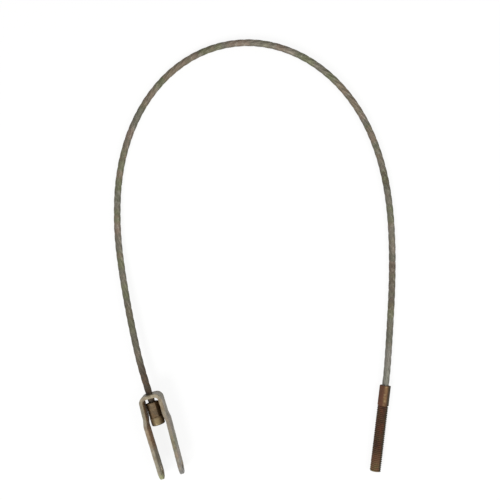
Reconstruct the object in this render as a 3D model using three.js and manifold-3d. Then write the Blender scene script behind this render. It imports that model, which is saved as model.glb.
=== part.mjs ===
/**
 * Parking brake cable, in millimetres, with +Z up.
 *
 * A length of wire rope lies on the floor in one long arch. One end is swaged into a
 * ferrule, which stops a clevis bent from flat strap: the clevis stands on its edge and
 * turns on the rope. The other end is swaged into the socket of a threaded stud.
 *
 * The fittings are placed from the clevis: x = 0 is the axis that it turns on, y = 0 is
 * the outer face of its web, and its ears point along -Y. The whole is then centred on
 * the box of its three fittings, with the floor at z = 0.
 */
import * as THREE from 'three';
import { mergeVertices } from 'three/addons/utils/BufferGeometryUtils.js';
import Module from 'manifold-3d';

const wasm = await Module();
wasm.setup();

// Wire rope
const ROPE_DIAMETER = 5.1;
const ROPE_SIDES = 10;
const ROPE_STEPS = 66;
const ROPE_END_RECESS = 0.5; // the cut end lies this far inside the ferrule's end face
const ROPE_LEAN = 2; // degrees that the rope leans in the web's hole, towards -X
const ROPE_STRAIGHT_AT_WEB = 11; // how far the rope runs straight behind the web
const ROPE_STRAIGHT_AT_STUD = 8; // and before the stud's mouth

// Points that the rope lies through: x, y, and how high its underside is off the floor
const ROPE_ROUTE = [
  [-0.5, 27, 5.3],
  [0.4, 48, 4.6],
  [1.9, 70, 3.3],
  [4, 92, 1.9],
  [7.1, 114, 0.7],
  [11.7, 134, 0.15],
  [18.4, 154.5, 0.05],
  [27.9, 174.5, 0.05],
  [40.3, 192.8, 0.05],
  [55.6, 208.6, 0.05],
  [73.7, 221.1, 0.05],
  [94.2, 229.2, 0.05],
  [116, 231.9, 0.05],
  [137.8, 228.8, 0.05],
  [157.2, 220.4, 0.05],
  [174.3, 207.4, 0.05],
  [188.3, 190.5, 0.05],
  [198.6, 171, 0.05],
  [205.1, 150, 0.05],
  [208.1, 128, 0.05],
  [208.1, 106, 0.05],
  [205.6, 84, 0.05],
  [201.3, 62.6, 0.05],
  [195.8, 41.3, 0.05],
  [189.8, 21.5, 0.1],
  [182.8, 0.6, 0.4],
  [175.7, -19.6, 1.3],
];

// Clevis, bent from one strap that stands on its edge
const STRAP_WIDTH = 16;
const STRAP_THICKNESS = 2.6;
const STRAP_OFFSET = 0.25; // the strap's middle lies this far from the rope's axis, towards +X
const EAR_SET = 0.3; // and its two tips are bent this much further that way
const CLEVIS_LENGTH = 62.2; // from the web's outer face to the tips
const GAP_AT_WEB = 11.3; // between the legs, inside, where they leave the web
const GAP_ABOVE_JOGGLE = 12.1;
const GAP_BELOW_JOGGLE = 14;
const GAP_AT_TIPS = 12.3;
const JOGGLE_START = 16.4; // below the web's outer face
const JOGGLE_END = 21.2;
const WEB_INNER_BEND = 2.4;
const JOGGLE_BEND = 5;
const EAR_CORNER = 7; // the corners of the strap's two ends, seen from the side
const PIN_HOLE_DIAMETER = 6.6;
const PIN_HOLE_FROM_TIP = 6.2;
const WEB_HOLE_CLEARANCE = 0.6; // all round the rope

// Ferrule, pressed to a hexagon over the rope, with a round foot
const FERRULE_DIAMETER = 9.9;
const FERRULE_LENGTH = 17;
const FERRULE_SLACK = 3.6; // from the web's inner face to the ferrule
const FERRULE_HEX_ACROSS_FLATS = 8.6;
const FERRULE_HEX_LENGTH = 11.6;
const FERRULE_HEX_RUNOUT = 0.8;
const FERRULE_TOP_CHAMFER = 0.4;
const FERRULE_FOOT_ROUND = 1;

// Threaded stud with the swaged socket for the rope's other end
const STUD_MOUTH = [167.8, -40.4];
const STUD_TURN = 22.2; // degrees, from -Y towards -X
const STUD_LENGTH = 63.1;
const SHANK_DIAMETER = 8.2;
const SHANK_LENGTH = 15.4;
const SHANK_HEX_ACROSS_FLATS = 7.6;
const SHANK_HEX_LENGTH = 12.4;
const SHANK_HEX_RUNOUT = 0.6;
const SHANK_CHAMFER = 0.5;
const SHANK_SHOULDER = 0.9; // length of the cone down to the thread
const THREAD_IN_SHOULDER = 0.68; // how far the thread runs up into that cone
const SOCKET_DEPTH = 14;
const THREAD_DIAMETER = 7.8;
const THREAD_PITCH = 1.411; // 18 threads to the inch
const THREAD_DEPTH = 0.86;
const THREAD_END_CHAMFER = 1;
const THREAD_SIDES = 18;

const SWAGE_GAP = 0.3; // between the rope and a socket that is pressed on it

// How finely round forms are divided
const TURNED_SIDES = 36;
const HOLE_SIDES = 32;
const DIE_SIDES = 48;
const STRAP_BEND_STEPS = 6;
const EAR_CORNER_STEPS = 8;
const FOOT_ROUND_STEPS = 3;
const MERGE_DISTANCE = 1e-4; // corners closer than this are one corner
const OVERCUT = 1; // how far a cutting tool reaches past what it cuts

// What follows from the sizes above
const ropeRadius = ROPE_DIAMETER / 2;
const axisHeight = STRAP_WIDTH / 2;
const shankRadius = SHANK_DIAMETER / 2;
const socketRadius = ropeRadius + SWAGE_GAP;
const ropeLean = THREE.MathUtils.degToRad(ROPE_LEAN);
const studTurn = -THREE.MathUtils.degToRad(STUD_TURN);
const strapReach = GAP_BELOW_JOGGLE / 2 + STRAP_THICKNESS + STRAP_OFFSET + EAR_SET + OVERCUT;
const webHole = new THREE.Vector3(0, -STRAP_THICKNESS / 2, axisHeight);
const ferruleTop = -STRAP_THICKNESS / 2 - FERRULE_SLACK;

/** The point this far along a fitting's own Y axis, when its start is placed and turned so. */
function alongAxis(start, turn, distance) {
  return new THREE.Vector3(0, distance, 0)
    .applyAxisAngle(new THREE.Vector3(0, 0, 1), turn)
    .add(start);
}

/** A geometry's merged triangles with their faces turned outwards, as a solid that can be cut. */
function toSolid(geometry) {
  geometry.deleteAttribute('normal');
  geometry.deleteAttribute('uv');
  const merged = mergeVertices(geometry, MERGE_DISTANCE);
  const place = merged.getAttribute('position');
  const triangles = [];
  let volume = 0;
  const corner = [new THREE.Vector3(), new THREE.Vector3(), new THREE.Vector3()];
  for (let i = 0; i < merged.index.count; i += 3) {
    const [a, b, c] = [0, 1, 2].map((k) => merged.index.getX(i + k));
    if (a === b || b === c || c === a) continue;
    triangles.push([a, b, c]);
    corner.forEach((point, k) => point.fromBufferAttribute(place, [a, b, c][k]));
    volume += corner[0].dot(corner[1].cross(corner[2]));
  }
  const outward = volume > 0 ? triangles : triangles.map(([a, b, c]) => [a, c, b]);
  return new wasm.Manifold(
    new wasm.Mesh({
      numProp: 3,
      vertProperties: new Float32Array(place.array),
      triVerts: new Uint32Array(outward.flat()),
    }),
  );
}

/** A solid's triangles as a geometry. */
function toGeometry(solid) {
  const { vertProperties, triVerts } = solid.getMesh();
  const geometry = new THREE.BufferGeometry();
  geometry.setAttribute('position', new THREE.BufferAttribute(vertProperties, 3));
  geometry.setIndex(new THREE.BufferAttribute(triVerts, 1));
  geometry.computeVertexNormals();
  return geometry;
}

/** A closed outline of [radius, y] points, turned about the Y axis. */
function turned(outline, sides) {
  const points = outline.map(([radius, y]) => new THREE.Vector2(radius, y));
  return toSolid(new THREE.LatheGeometry([...points, points[0]], sides));
}

/** A straight six-sided bar along Y with one flat facing up, from y = high down to y = low. */
function hexBar(acrossFlats, high, low) {
  const bar = new THREE.CylinderGeometry(
    acrossFlats / Math.sqrt(3),
    acrossFlats / Math.sqrt(3),
    high - low,
    6,
  );
  bar.rotateY(Math.PI / 6);
  bar.translate(0, (high + low) / 2, 0);
  return toSolid(bar);
}

/** What lets a bar through as a hexagon from y = 0 down to y = -length, and round below that. */
function hexDie(acrossFlats, length, runout, widest, reach) {
  const flatsEnd = -length + runout;
  const round = turned(
    [
      [0, flatsEnd],
      [acrossFlats / 2, flatsEnd],
      [widest, -length],
      [widest, -reach],
      [0, -reach],
    ],
    DIE_SIDES,
  );
  return hexBar(acrossFlats, OVERCUT, -length).add(round);
}

/** Points on a path through corners, each corner but the ends rounded to its radius. */
function roundedPath(corners, stepsPerBend) {
  const points = [];
  corners.forEach(({ at, bend }, i) => {
    if (!bend) {
      points.push(at);
      return;
    }
    const back = corners[i - 1].at.clone().sub(at).normalize();
    const ahead = corners[i + 1].at.clone().sub(at).normalize();
    const half = Math.acos(back.dot(ahead)) / 2;
    const centre = at
      .clone()
      .addScaledVector(back.clone().add(ahead).normalize(), bend / Math.sin(half));
    const start = at.clone().addScaledVector(back, bend / Math.tan(half));
    const turn = Math.PI - 2 * half;
    const side = Math.sign(back.cross(ahead));
    for (let k = 0; k <= stepsPerBend; k++) {
      points.push(start.clone().rotateAround(centre, -side * turn * (k / stepsPerBend)));
    }
  });
  return points;
}

/** The strap's outline from above: its middle line, set off by half its thickness each way. */
function strapOutline() {
  const half = STRAP_THICKNESS / 2;
  const corner = (sign, gap, y, bend, shift = STRAP_OFFSET) => ({
    at: new THREE.Vector2(sign * (gap / 2 + half) + shift, y),
    bend,
  });
  const side = (sign) => [
    corner(sign, GAP_AT_TIPS, -CLEVIS_LENGTH, 0, STRAP_OFFSET + EAR_SET),
    corner(sign, GAP_BELOW_JOGGLE, -JOGGLE_END, JOGGLE_BEND),
    corner(sign, GAP_ABOVE_JOGGLE, -JOGGLE_START, JOGGLE_BEND),
    corner(sign, GAP_AT_WEB, -half, WEB_INNER_BEND + half),
  ];
  const middle = roundedPath([...side(1), ...side(-1).reverse()], STRAP_BEND_STEPS);
  const offset = (distance) =>
    middle.map((point, i) => {
      const before = middle[Math.max(i - 1, 0)];
      const after = middle[Math.min(i + 1, middle.length - 1)];
      const along = after.clone().sub(before).normalize();
      return new THREE.Vector2(point.x - along.y * distance, point.y + along.x * distance);
    });
  return new THREE.Shape([...offset(half), ...offset(-half).reverse()]);
}

/** A long side view of the strap, with rounded corners at the tips, as a bar along X. */
function earOutline() {
  const shape = new THREE.Shape();
  const tip = -CLEVIS_LENGTH;
  shape.moveTo(OVERCUT, 0);
  shape.lineTo(OVERCUT, STRAP_WIDTH);
  shape.lineTo(tip + EAR_CORNER, STRAP_WIDTH);
  shape.absarc(tip + EAR_CORNER, STRAP_WIDTH - EAR_CORNER, EAR_CORNER, Math.PI / 2, Math.PI, false);
  shape.absarc(tip + EAR_CORNER, EAR_CORNER, EAR_CORNER, Math.PI, Math.PI * 1.5, false);
  shape.closePath();
  const width = 2 * strapReach;
  const bar = new THREE.ExtrudeGeometry(shape, {
    depth: width,
    bevelEnabled: false,
    curveSegments: EAR_CORNER_STEPS,
  });
  bar.translate(0, 0, -width / 2);
  const [x, y, z] = [[1, 0, 0], [0, 1, 0], [0, 0, 1]].map((v) => new THREE.Vector3(...v));
  bar.applyMatrix4(new THREE.Matrix4().makeBasis(y, z, x));
  return toSolid(bar);
}

function clevis() {
  const strap = new THREE.ExtrudeGeometry(strapOutline(), {
    depth: STRAP_WIDTH,
    bevelEnabled: false,
  });
  const pin = new THREE.CylinderGeometry(
    PIN_HOLE_DIAMETER / 2,
    PIN_HOLE_DIAMETER / 2,
    2 * strapReach,
    HOLE_SIDES,
  );
  pin.rotateZ(Math.PI / 2);
  pin.translate(0, PIN_HOLE_FROM_TIP - CLEVIS_LENGTH, axisHeight);
  const ropeHole = ropeRadius + WEB_HOLE_CLEARANCE;
  const depth = STRAP_THICKNESS + 2 * OVERCUT;
  const throughWeb = new THREE.CylinderGeometry(ropeHole, ropeHole, depth, HOLE_SIDES);
  throughWeb.translate(webHole.x, webHole.y, webHole.z);
  const solid = toSolid(strap)
    .intersect(earOutline())
    .subtract(toSolid(pin))
    .subtract(toSolid(throughWeb));
  return toGeometry(solid);
}

function ferrule() {
  const radius = FERRULE_DIAMETER / 2;
  const foot = [...Array(FOOT_ROUND_STEPS).keys()].map((k) => {
    const angle = ((k + 1) / FOOT_ROUND_STEPS) * (Math.PI / 2);
    return [
      radius - FERRULE_FOOT_ROUND * (1 - Math.cos(angle)),
      -FERRULE_LENGTH + FERRULE_FOOT_ROUND * (1 - Math.sin(angle)),
    ];
  });
  const barrel = turned(
    [
      [socketRadius, 0],
      [radius - FERRULE_TOP_CHAMFER, 0],
      [radius, -FERRULE_TOP_CHAMFER],
      [radius, -FERRULE_LENGTH + FERRULE_FOOT_ROUND],
      ...foot,
      [socketRadius, -FERRULE_LENGTH],
    ],
    TURNED_SIDES,
  );
  const die = hexDie(
    FERRULE_HEX_ACROSS_FLATS,
    FERRULE_HEX_LENGTH,
    FERRULE_HEX_RUNOUT,
    FERRULE_DIAMETER,
    FERRULE_LENGTH + OVERCUT,
  );
  return toGeometry(barrel.intersect(die));
}

/**
 * A threaded bar along Y. Its crest and its root are two helices, half a pitch apart,
 * joined by the thread's flanks, and each end is a fan of triangles about the axis.
 */
function threadedBar(crest, root, pitch, high, low) {
  const turns = Math.ceil((high - low) / pitch) + 3;
  const count = turns * THREAD_SIDES + 1;
  const top = high + 1.5 * pitch;
  const place = [];
  for (const [radius, drop] of [[crest, 0], [root, pitch / 2]]) {
    for (let j = 0; j < count; j++) {
      const angle = (2 * Math.PI * j) / THREAD_SIDES;
      const y = top - drop - (pitch * j) / THREAD_SIDES;
      place.push(radius * Math.cos(angle), y, radius * Math.sin(angle));
    }
  }
  const c = (j) => j;
  const r = (j) => count + j;
  const topHub = 2 * count;
  const lowHub = topHub + 1;
  place.push(0, top, 0, 0, top - pitch * turns, 0);
  const index = [];
  const quad = (a, b, d, e) => index.push(a, b, d, a, d, e);
  for (let j = 0; j < count - 1; j++) {
    quad(c(j), c(j + 1), r(j + 1), r(j));
    if (j + THREAD_SIDES < count - 1) {
      quad(r(j), r(j + 1), c(j + 1 + THREAD_SIDES), c(j + THREAD_SIDES));
    }
  }
  const fan = (loop, hub) => {
    loop.forEach((from, k) => index.push(from, hub, loop[(k + 1) % loop.length]));
  };
  const turn = [...Array(THREAD_SIDES + 1).keys()];
  fan([...turn.map(c), r(0)], topHub);
  fan([...turn.map((k) => r(count - 1 - k)), c(count - 1)], lowHub);
  const geometry = new THREE.BufferGeometry();
  geometry.setAttribute('position', new THREE.Float32BufferAttribute(place, 3));
  geometry.setIndex(index);
  const trim = turned(
    [
      [0, high],
      [crest + SWAGE_GAP, high],
      [crest + SWAGE_GAP, low + THREAD_END_CHAMFER + SWAGE_GAP],
      [crest - THREAD_END_CHAMFER, low],
      [0, low],
    ],
    THREAD_SIDES,
  );
  return toSolid(geometry).intersect(trim);
}

function threadedStud() {
  const crest = THREAD_DIAMETER / 2;
  const root = crest - THREAD_DEPTH;
  const shoulder = -SHANK_LENGTH + SHANK_SHOULDER;
  const shank = turned(
    [
      [socketRadius, 0],
      [shankRadius - SHANK_CHAMFER, 0],
      [shankRadius, -SHANK_CHAMFER],
      [shankRadius, shoulder],
      [root, -SHANK_LENGTH],
      [root, -SHANK_LENGTH - THREAD_PITCH],
      [0, -SHANK_LENGTH - THREAD_PITCH],
      [0, -SOCKET_DEPTH],
      [socketRadius, -SOCKET_DEPTH],
    ],
    TURNED_SIDES,
  );
  const die = hexDie(
    SHANK_HEX_ACROSS_FLATS,
    SHANK_HEX_LENGTH,
    SHANK_HEX_RUNOUT,
    SHANK_DIAMETER,
    STUD_LENGTH,
  );
  const thread = threadedBar(
    crest,
    root,
    THREAD_PITCH,
    -SHANK_LENGTH + SHANK_SHOULDER - THREAD_IN_SHOULDER,
    -STUD_LENGTH,
  );
  return toGeometry(shank.intersect(die).add(thread));
}

/** The rope's middle line: out of the ferrule, along the floor, and into the stud's socket. */
function ropeLine() {
  const mouth = new THREE.Vector3(...STUD_MOUTH, shankRadius);
  const points = [
    alongAxis(webHole, ropeLean, ferruleTop - FERRULE_LENGTH + ROPE_END_RECESS),
    alongAxis(webHole, ropeLean, ferruleTop),
    alongAxis(webHole, ropeLean, ROPE_STRAIGHT_AT_WEB),
    ...ROPE_ROUTE.map(([x, y, lift]) => new THREE.Vector3(x, y, lift + ropeRadius)),
    alongAxis(mouth, studTurn, ROPE_STRAIGHT_AT_STUD),
    mouth,
    alongAxis(mouth, studTurn, SWAGE_GAP - SOCKET_DEPTH),
  ];
  return new THREE.CatmullRomCurve3(points, false, 'centripetal');
}

function wireRope() {
  const section = new THREE.Shape(
    [...Array(ROPE_SIDES).keys()].map((k) => {
      const angle = (2 * Math.PI * k) / ROPE_SIDES;
      return new THREE.Vector2(ropeRadius * Math.cos(angle), ropeRadius * Math.sin(angle));
    }),
  );
  return new THREE.ExtrudeGeometry(section, {
    steps: ROPE_STEPS,
    extrudePath: ropeLine(),
    bevelEnabled: false,
  });
}

function piece(name, geometry, color, roughness, metalness) {
  const material = new THREE.MeshStandardMaterial({ color, roughness, metalness });
  const mesh = new THREE.Mesh(geometry, material);
  mesh.name = name;
  return mesh;
}

const clevisMesh = piece('clevis', clevis(), 0x9a9282, 0.6, 0.7);

const ferruleMesh = piece('ferrule', ferrule(), 0x6b5234, 0.55, 0.7);
ferruleMesh.position.copy(alongAxis(webHole, ropeLean, ferruleTop));
ferruleMesh.rotation.z = ropeLean;

const studMesh = piece('threaded_stud', threadedStud(), 0x5b3322, 0.75, 0.5);
studMesh.position.set(...STUD_MOUTH, shankRadius);
studMesh.rotation.z = studTurn;

const ropeMesh = piece('wire_rope', wireRope(), 0x7f7a68, 0.6, 0.6);

const group = new THREE.Group();
group.add(clevisMesh, ferruleMesh, studMesh, ropeMesh);
group.updateMatrixWorld(true);
const fittings = new THREE.Box3();
[clevisMesh, ferruleMesh, studMesh].forEach((mesh) => fittings.expandByObject(mesh, true));
const middle = fittings.getCenter(new THREE.Vector3());
group.position.set(-middle.x, -middle.y, 0);
group.updateMatrixWorld(true);

export default group;
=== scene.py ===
# %% [markdown]
# # Parking brake cable
# A length of wire rope lies on the floor in one long arch. One end is pressed into a
# ferrule, which stops a clevis bent from flat strap; the other end is pressed into the
# socket of a threaded stud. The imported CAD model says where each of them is. This script
# gives each a finer shape and a finish, and photographs them from above.
#
# The CAD model comes in first, as a fixed frame that all pieces are built round.

import math

import bpy
import numpy as np
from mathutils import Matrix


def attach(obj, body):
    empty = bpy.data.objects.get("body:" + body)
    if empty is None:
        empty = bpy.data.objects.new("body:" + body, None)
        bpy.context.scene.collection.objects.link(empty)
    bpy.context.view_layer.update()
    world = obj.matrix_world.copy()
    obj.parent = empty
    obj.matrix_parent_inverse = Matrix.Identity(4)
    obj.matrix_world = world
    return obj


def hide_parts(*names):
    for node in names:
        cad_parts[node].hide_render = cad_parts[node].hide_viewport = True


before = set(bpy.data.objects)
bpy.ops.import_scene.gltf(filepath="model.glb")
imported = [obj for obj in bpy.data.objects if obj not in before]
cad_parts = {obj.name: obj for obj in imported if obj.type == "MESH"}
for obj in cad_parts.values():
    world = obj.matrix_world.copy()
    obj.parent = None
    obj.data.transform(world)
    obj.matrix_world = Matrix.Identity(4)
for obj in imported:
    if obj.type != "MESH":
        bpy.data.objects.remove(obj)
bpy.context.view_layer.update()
MM = 0.001

# %% [markdown]
# ## Where things are
# Sizes are written in millimetres, as on a drawing, and in the drawing's own place: x = 0
# is the axis that the clevis turns on and y = 0 is the outer face of its web. `to_frame`
# moves them to the model's frame and turns them into metres, Blender's unit. Doing that
# in one place keeps every other number readable.

# %% From the drawing to the frame
DRAWING_ORIGIN = np.array([-81.035588, 49.950845, 0.0])
ROPE_RADIUS = 2.55
AXIS_HEIGHT = 8.0
SHANK_RADIUS = 4.1
STRAP_THICKNESS = 2.6
LEAN = math.radians(2)
STUD_TURN = -math.radians(22.2)
WEB_HOLE = np.array([0.0, -STRAP_THICKNESS / 2, AXIS_HEIGHT])
FERRULE_TOP = -4.9
FERRULE_LENGTH = 17.0
STUD_MOUTH = np.array([167.8, -40.4, SHANK_RADIUS])


def to_frame(points):
    """Drawing millimetres to frame metres: add the drawing's place, times one thousandth."""
    return (np.asarray(points, float) + DRAWING_ORIGIN) * MM


def along_axis(start, turn, distance):
    """The point at this distance along a fitting's own Y axis, turned about Z."""
    return np.array(start) + distance * np.array([-math.sin(turn), math.cos(turn), 0.0])


FERRULE_PLACE = along_axis(WEB_HOLE, LEAN, FERRULE_TOP)
print("ferrule's mouth, m:", to_frame(FERRULE_PLACE).round(4))

# %% [markdown]
# ## The camera
# The photograph looks straight down on the cable from a little over sixty centimetres.
# A camera object looks along its own -Z axis, so an unturned one already looks down, and
# one turn about Z sets how the picture stands. A lens length follows from the width of
# floor that the picture shows: lens / sensor = height / width.

# %% Camera


def add_object(name, data):
    """A new object that shows this data, linked into the scene."""
    made = bpy.data.objects.new(name, data)
    bpy.context.scene.collection.objects.link(made)
    return made


CAMERA_PLACE = to_frame([98.467, 81.623, 627.0])
CAMERA_TURN = -math.radians(15.4)
PICTURE_WIDTH = 0.369
SENSOR = 36.0
eye = bpy.data.cameras.new("camera")
eye.sensor_width = SENSOR
eye.lens = SENSOR * CAMERA_PLACE[2] / PICTURE_WIDTH
camera = add_object("camera", eye)
camera.location = CAMERA_PLACE
camera.rotation_euler = (0, 0, CAMERA_TURN)
bpy.context.scene.camera = camera
bpy.context.scene.view_settings.view_transform = "Standard"
print(f"lens {eye.lens:.1f} mm")

# %% [markdown]
# ## From a grid of points to a mesh
# Nearly every piece here is a grid: rows of points along it, columns round it. These
# helpers join such a grid into quads, close a tube's ends, and put all into a mesh. The
# faces must point outwards, and the sign of the enclosed volume tells whether they do, so
# a piece that came out inside out is turned at once.

# %% Grids, caps and meshes


def quads_of(rows, columns, start=0, loop_rows=False, loop_columns=True):
    """Corner numbers of a grid's quads; a way that loops closes into a ring."""
    i = np.arange(rows if loop_rows else rows - 1)[:, None]
    j = np.arange(columns if loop_columns else columns - 1)[None, :]
    below, beside = (i + 1) % rows, (j + 1) % columns
    corners = [i * columns + j, i * columns + beside, below * columns + beside, below * columns + j]
    return start + np.stack(np.broadcast_arrays(*corners), -1).reshape(-1, 4)


def tube_mesh(rings, start=0):
    """Quads of one tube and a fan over each end; its two hubs come after its rings."""
    rows, columns = rings.shape[:2]
    count = rows * columns
    places = np.vstack([rings.reshape(-1, 3), rings[[0, -1]].mean(1)])
    first = start + np.arange(columns)
    last = first + count - columns
    fans = [
        np.column_stack([np.roll(first, -1), first, np.full(columns, start + count)]),
        np.column_stack([last, np.roll(last, -1), np.full(columns, start + count + 1)]),
    ]
    return places, quads_of(rows, columns, start), np.vstack(fans)


def store(mesh, **attributes):
    """Keeps each array of values with the mesh's points, under its own name."""
    for key, values in attributes.items():
        layer = mesh.attributes.new(key, "FLOAT", "POINT")
        layer.data.foreach_set("value", np.asarray(values, np.float32).ravel())


def add_piece(name, places, quads, triangles=(), **attributes):
    """A mesh object from frame places; it is turned outwards by the sign of its volume."""
    triangles = np.asarray(triangles, int).reshape(-1, 3)
    halves = np.vstack([quads[:, [0, 1, 2]], quads[:, [0, 2, 3]], triangles])
    a, b, c = (places[halves[:, k]] for k in range(3))
    if np.einsum("ij,ij->", a, np.cross(b, c)) < 0:
        quads, triangles = quads[:, ::-1], triangles[:, ::-1]
    mesh = bpy.data.meshes.new(name)
    mesh.from_pydata(places.tolist(), [], quads.tolist() + triangles.tolist())
    store(mesh, **attributes)
    mesh.shade_smooth()
    print(f"{name}: {len(places)} points, {len(halves)} triangles")
    return add_object(name, mesh)


def unit(vectors):
    """Each vector divided by its own length."""
    return vectors / np.linalg.norm(vectors, axis=-1, keepdims=True)


def ramp(value, start, width):
    """0 up to start, 1 from start + width on, and straight between."""
    return np.clip((value - start) / width, 0, 1)


# %% [markdown]
# ## Unevenness
# Old steel is never quite flat. A sum of many plane waves in random directions, all of
# about the same wavelength, makes a soft uneven field with no grid in it, and as whole
# arrays it costs next to nothing. A fixed seed gives the same dents on each run.

# %% Waves


def unevenness(points, size, seed, waves=28):
    """Sum of sines of (direction . point + phase), scaled to about -1 to 1; size in mm."""
    draw = np.random.default_rng(seed)
    heading = unit(draw.normal(size=(waves, 3)))
    length = 2 * np.pi / (size * draw.uniform(0.6, 1.7, waves))
    phase = draw.uniform(0, 2 * np.pi, waves)
    value = np.sin(points @ (heading * length[:, None]).T + phase)
    return value.sum(-1) / math.sqrt(waves)


def dents_on(points, *layers):
    """Layers of unevenness added up, each given as (depth, size, seed), in mm."""
    return sum(depth * unevenness(points, size, seed) for depth, size, seed in layers)


# %% [markdown]
# ## The line of the rope
# The rope's middle line passes through points read off the floor: out of the ferrule,
# down from the clevis's height on to the floor, round the arch and up into the stud.
# A centripetal Catmull-Rom curve goes through every point and never overshoots between
# them, and it is the curve that the CAD rope follows, so both lie in the same place.

# %% Rope line
LIFTED_ROUTE = [
    [-0.5, 27, 5.3], [0.4, 48, 4.6], [1.9, 70, 3.3], [4, 92, 1.9], [7.1, 114, 0.7],
    [11.7, 134, 0.15], [18.4, 154.5, 0.05], [27.9, 174.5, 0.05], [40.3, 192.8, 0.05],
    [55.6, 208.6, 0.05], [73.7, 221.1, 0.05], [94.2, 229.2, 0.05], [116, 231.9, 0.05],
    [137.8, 228.8, 0.05], [157.2, 220.4, 0.05], [174.3, 207.4, 0.05], [188.3, 190.5, 0.05],
    [198.6, 171, 0.05], [205.1, 150, 0.05], [208.1, 128, 0.05], [208.1, 106, 0.05],
    [205.6, 84, 0.05], [201.3, 62.6, 0.05], [195.8, 41.3, 0.05], [189.8, 21.5, 0.1],
    [182.8, 0.6, 0.4], [175.7, -19.6, 1.3],
]
END_RECESS = 0.5
STRAIGHT_AT_WEB = 11.0
STRAIGHT_AT_STUD = 8.0
END_IN_SOCKET = -13.7


def smooth_line(points, per_span):
    """Cubic spans whose end speeds weigh the neighbouring chords by the root of their length."""
    p = np.asarray(points, float)
    p = np.vstack([2 * p[0] - p[1], p, 2 * p[-1] - p[-2]])
    gap = np.sqrt(np.linalg.norm(np.diff(p, axis=0), axis=1))[:, None]
    before, here, after = gap[:-2], gap[1:-1], gap[2:]
    p0, p1, p2, p3 = p[:-3], p[1:-2], p[2:-1], p[3:]
    middle = (p2 - p1) / here
    leave = ((p1 - p0) / before - (p2 - p0) / (before + here) + middle) * here
    arrive = (middle - (p3 - p1) / (here + after) + (p3 - p2) / after) * here
    u = np.linspace(0, 1, per_span, endpoint=False)[:, None]
    square = (3 * (p2 - p1) - 2 * leave - arrive)[:, None] * u**2
    cube = (2 * (p1 - p2) + leave + arrive)[:, None] * u**3
    spans = p1[:, None] + leave[:, None] * u + square + cube
    return np.vstack([spans.reshape(-1, 3), p2[-1]])


def read_off(line, reach, at):
    """The values of a line at these distances along it, straight between its points."""
    return np.stack([np.interp(at, reach, column) for column in line.T], -1)


def even_steps(line, count):
    """The same line with its points at equal distances, and each point's distance along."""
    pace = np.linalg.norm(np.diff(line, axis=0), axis=1)
    reach = np.concatenate([[0], np.cumsum(pace)])
    at = np.linspace(0, reach[-1], count)
    return read_off(line, reach, at), at


route = [[x, y, lift + ROPE_RADIUS] for x, y, lift in LIFTED_ROUTE]
knots = [
    along_axis(WEB_HOLE, LEAN, FERRULE_TOP - FERRULE_LENGTH + END_RECESS),
    along_axis(WEB_HOLE, LEAN, FERRULE_TOP),
    along_axis(WEB_HOLE, LEAN, STRAIGHT_AT_WEB),
    *route,
    along_axis(STUD_MOUTH, STUD_TURN, STRAIGHT_AT_STUD),
    STUD_MOUTH,
    along_axis(STUD_MOUTH, STUD_TURN, END_IN_SOCKET),
]
STEPS_PER_SPAN = 60
ROPE_STATIONS = 800
rope_line, rope_at = even_steps(smooth_line(knots, STEPS_PER_SPAN), ROPE_STATIONS)

# %% [markdown]
# ## The wire rope
# Six strands are laid round a core, and each strand is itself twisted from wires, of
# which nine lie outside. A screw thread in the shader would only fake this, so the
# strands are real: each is a tube whose middle runs in a helix round the rope's line.
# Its section has a ridge for each outer wire, and turns against the strands as it goes,
# the way a regular-lay rope is made, so that the wires come out nearly parallel to it.

# %% Strands
STRANDS = 6
STRAND_RADIUS = 0.86
LAY_LENGTH = 42.0
LAY_HAND = -1
OUTER_WIRES = 9
WIRE_LAY = 15.0
WIRE_GROOVE = 0.13
STRAND_LOOSENESS = 0.035
SWAY_LENGTHS = (9, 23)


def line_frames(line):
    """Along is the line's slope, side is Z x along, and up is along x side."""
    along = unit(np.gradient(line, axis=0))
    side = unit(np.cross([0, 0, 1], along))
    return along, side, np.cross(along, side)


along, side, up = line_frames(rope_line)
draw = np.random.default_rng(11)
centre_radius = ROPE_RADIUS - STRAND_RADIUS
turn = LAY_HAND * 2 * np.pi * rope_at / LAY_LENGTH
wire_turn = -LAY_HAND * 2 * np.pi * rope_at * (1 / WIRE_LAY + 1 / LAY_LENGTH)
corner = np.arange(2 * OUTER_WIRES)
ridge = STRAND_RADIUS - WIRE_GROOVE * (corner % 2)
corner_angle = np.pi * corner / OUTER_WIRES
tubes, out_of_axis = [], []
for strand in range(STRANDS):
    angle = (turn + 2 * np.pi * strand / STRANDS)[:, None]
    wave = np.sin(rope_at / draw.uniform(*SWAY_LENGTHS) + draw.uniform(0, 6))
    sway = STRAND_LOOSENESS * wave
    outward = np.cos(angle) * side + np.sin(angle) * up
    middle = rope_line + (centre_radius - np.abs(sway))[:, None] * outward
    forward = unit(np.gradient(middle, axis=0))
    across = np.cross(forward, outward)
    spin = corner_angle + wire_turn[:, None]
    ring = (np.cos(spin) * ridge)[..., None] * outward[:, None]
    ring = ring + (np.sin(spin) * ridge)[..., None] * across[:, None]
    tube = middle[:, None] + ring
    tubes.append(tube)
    out_of_axis.append(np.linalg.norm(tube - rope_line[:, None], axis=-1))
print(f"{STRANDS} strands of {STRAND_RADIUS * 2:.2f} mm")
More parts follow.
